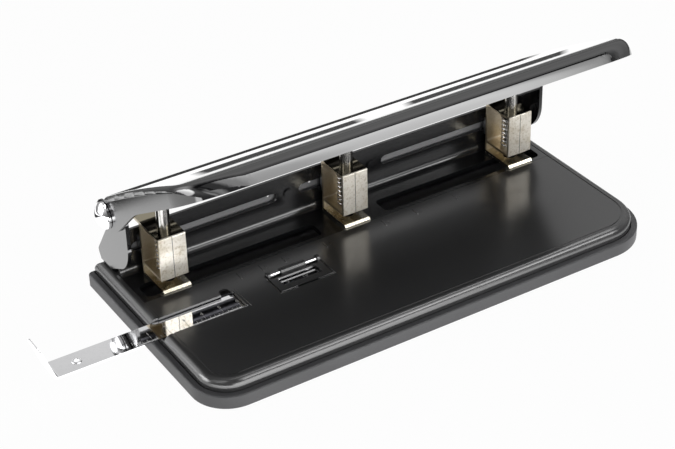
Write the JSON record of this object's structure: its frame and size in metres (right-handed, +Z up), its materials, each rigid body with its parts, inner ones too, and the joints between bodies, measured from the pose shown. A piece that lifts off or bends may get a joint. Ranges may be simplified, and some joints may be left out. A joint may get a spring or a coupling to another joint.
{
  "type": "adjustable three-hole paper punch",
  "caption": "Desk punch for three holes: a full-width pressed lever drives three spring-returned punches over a shallow base, with a sliding paper guide.",
  "frame": {"origin": "on the table, under the middle of the tray", "axes": "+X along the length to the right, +Y to the back, +Z up; the lever is raised at rest"},
  "size_m": [0.3319, 0.1342, 0.1145],
  "materials": {
    "enamel": "gloss",
    "tray": "matte",
    "nickel": "satin",
    "tool_steel": "polished",
    "zinc": "satin",
    "screw_steel": "satin",
    "chrome": "polished"
  },
  "bodies": {
    "base": {"base_tray": "tray", "base_plate": "enamel", "punch_rail": "enamel", "index_strip": "zinc", "strip_rivets": "screw_steel", "bracket_left": "enamel", "bracket_right": "enamel", "bracket_screws": "screw_steel", "guide_track": "zinc", "guide_lock_pin": "chrome", "pivot_rod": "screw_steel", "pivot_cap_left": "chrome", "pivot_cap_right": "chrome", "head_centre": "nickel", "die_centre": "nickel", "slide_block_centre": "zinc"},
    "lever": {"lever": "enamel"},
    "left_head": {"head_left": "nickel", "die_left": "nickel", "slide_block_left": "zinc"},
    "right_head": {"head_right": "nickel", "die_right": "nickel", "slide_block_right": "zinc"},
    "guide": {"paper_guide": "chrome"},
    "lock": {"guide_lock": "chrome"},
    "left_punch": {"punch_left": "tool_steel", "clip_left": "tool_steel", "spring_left": "tool_steel"},
    "centre_punch": {"punch_centre": "tool_steel", "clip_centre": "tool_steel", "spring_centre": "tool_steel"},
    "right_punch": {"punch_right": "tool_steel", "clip_right": "tool_steel", "spring_right": "tool_steel"}
  },
  "joints": [
    {"name": "lever_press", "type": "hinge", "parent": "base", "child": "lever", "pos_m": [0, 0.04545, 0.0523], "axis": [1, 0, 0], "range_deg": [0, 26], "stiffness_Nm_per_rad": 1.2, "springref_deg": -34.38},
    {"name": "left_head_slide", "type": "slide", "parent": "base", "child": "left_head", "axis": [1, 0, 0], "range_m": [-0.0045, 0.068]},
    {"name": "right_head_slide", "type": "slide", "parent": "base", "child": "right_head", "axis": [1, 0, 0], "range_m": [-0.068, 0.0045]},
    {"name": "guide_slide", "type": "slide", "parent": "base", "child": "guide", "axis": [1, 0, 0], "range_m": [-0.01, 0.05]},
    {"name": "lock_lift", "type": "hinge", "parent": "base", "child": "lock", "pos_m": [-0.0498, 0.0023, 0.01405], "axis": [-1, 0, 0], "range_deg": [0, 70]},
    {"name": "left_punch_stroke", "type": "slide", "parent": "left_head", "child": "left_punch", "axis": [0, 0, 1], "range_m": [-0.0096, 0], "deforming": ["spring_left"]},
    {"name": "centre_punch_stroke", "type": "slide", "parent": "base", "child": "centre_punch", "axis": [0, 0, 1], "range_m": [-0.0096, 0], "deforming": ["spring_centre"]},
    {"name": "right_punch_stroke", "type": "slide", "parent": "right_head", "child": "right_punch", "axis": [0, 0, 1], "range_m": [-0.0096, 0], "deforming": ["spring_right"]}
  ],
  "couplings": [
    {"joint": "left_punch_stroke", "follows": "lever_press", "m_per_rad": -0.02042},
    {"joint": "centre_punch_stroke", "follows": "lever_press", "m_per_rad": -0.02042},
    {"joint": "right_punch_stroke", "follows": "lever_press", "m_per_rad": -0.02042}
  ]
}
